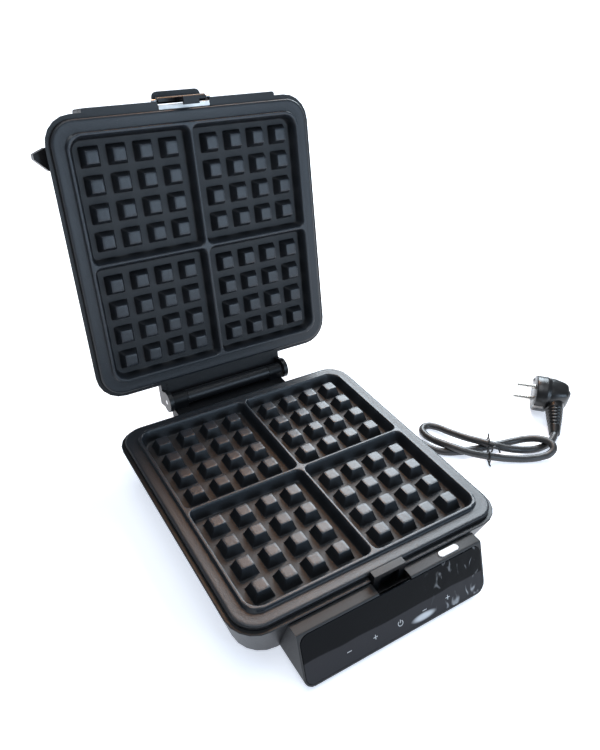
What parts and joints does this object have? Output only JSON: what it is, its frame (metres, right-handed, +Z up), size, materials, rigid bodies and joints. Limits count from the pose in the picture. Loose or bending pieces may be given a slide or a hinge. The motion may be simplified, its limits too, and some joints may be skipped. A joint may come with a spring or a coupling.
{
  "type": "waffle maker",
  "caption": "Square electric waffle maker standing open, with dark pegged waffle plates, a hinged lid with a latch, a front control panel and a coiled mains cord with a plug.",
  "frame": {"origin": "on the table, under the centre of the footprint of the machine with its lid open, cord left out", "axes": "+Z up, +Y towards the hinge at the back, +X to the right of a user who stands in front of the control panel"},
  "size_m": [0.4505, 0.3776, 0.298],
  "materials": {
    "waffle_plate": "dark non-stick coating, semi-gloss",
    "housing": "satin",
    "bottom_plate": "satin black paint on steel sheet",
    "latch": "gloss",
    "silver_strip": "satin",
    "silver_button": "silver paint, satin",
    "steel_pin": "satin",
    "panel": "gloss with printed symbols",
    "rubber_foot": "matt",
    "cord": "smooth, satin",
    "tie": "satin",
    "plug": "satin",
    "plug_metal": "nickel plate",
    "element": "heat-tinted",
    "shield": "bright sheet",
    "thermostat_metal": "satin",
    "ceramic": "matt",
    "board": "satin"
  },
  "bodies": {
    "base": {"base_bottom_cover": "bottom_plate", "base_housing": "housing", "base_screw_1": "steel_pin", "base_screw_2": "steel_pin", "base_screw_3": "steel_pin", "base_screw_4": "steel_pin", "control_board": "board", "control_box_housing": "housing", "control_panel": "panel", "cord_gland": "cord", "cord_hank": "cord", "cord_run": "cord", "cord_tail": "cord", "cord_tie_1": "tie", "cord_tie_2": "tie", "foot_1": "rubber_foot", "foot_2": "rubber_foot", "foot_3": "rubber_foot", "foot_4": "rubber_foot", "foot_5": "rubber_foot", "foot_6": "rubber_foot", "hinge_bracket": "housing", "hinge_pin": "steel_pin", "latch_catch": "latch", "lower_heat_shield": "shield", "lower_heating_element": "element", "lower_waffle_plate": "waffle_plate", "plug_body": "plug", "plug_pin_1": "plug_metal", "plug_pin_2": "plug_metal", "terminal_block": "ceramic", "thermal_fuse": "thermostat_metal", "thermostat": "thermostat_metal"},
    "lid": {"lid_frame": "housing", "lid_cover": "housing", "upper_waffle_plate": "waffle_plate", "upper_heating_element": "element", "upper_heat_shield": "shield", "latch_plate": "silver_strip", "latch_pin": "steel_pin"},
    "latch": {"latch_lever": "latch"},
    "lower_release": {"lower_release_button": "silver_button"},
    "upper_release": {"upper_release_button": "latch"}
  },
  "joints": [
    {"name": "lid_hinge", "type": "hinge", "parent": "base", "child": "lid", "pos_m": [0.00375, 0.08357, 0.052], "axis": [1, 0, 0], "range_deg": [0, 104.9]},
    {"name": "latch_swing", "type": "hinge", "parent": "lid", "child": "latch", "pos_m": [0.00375, 0.16179, 0.29114], "axis": [1, 0, 0], "range_deg": [-11, 0], "stiffness_Nm_per_rad": 0.02},
    {"name": "lower_release_press", "type": "slide", "parent": "base", "child": "lower_release", "axis": [0, 0, -1], "range_m": [0, 0.0015], "stiffness_N_per_m": 400},
    {"name": "upper_release_press", "type": "slide", "parent": "lid", "child": "upper_release", "axis": [1, 0, 0], "range_m": [0, 0.002], "stiffness_N_per_m": 400}
  ]
}
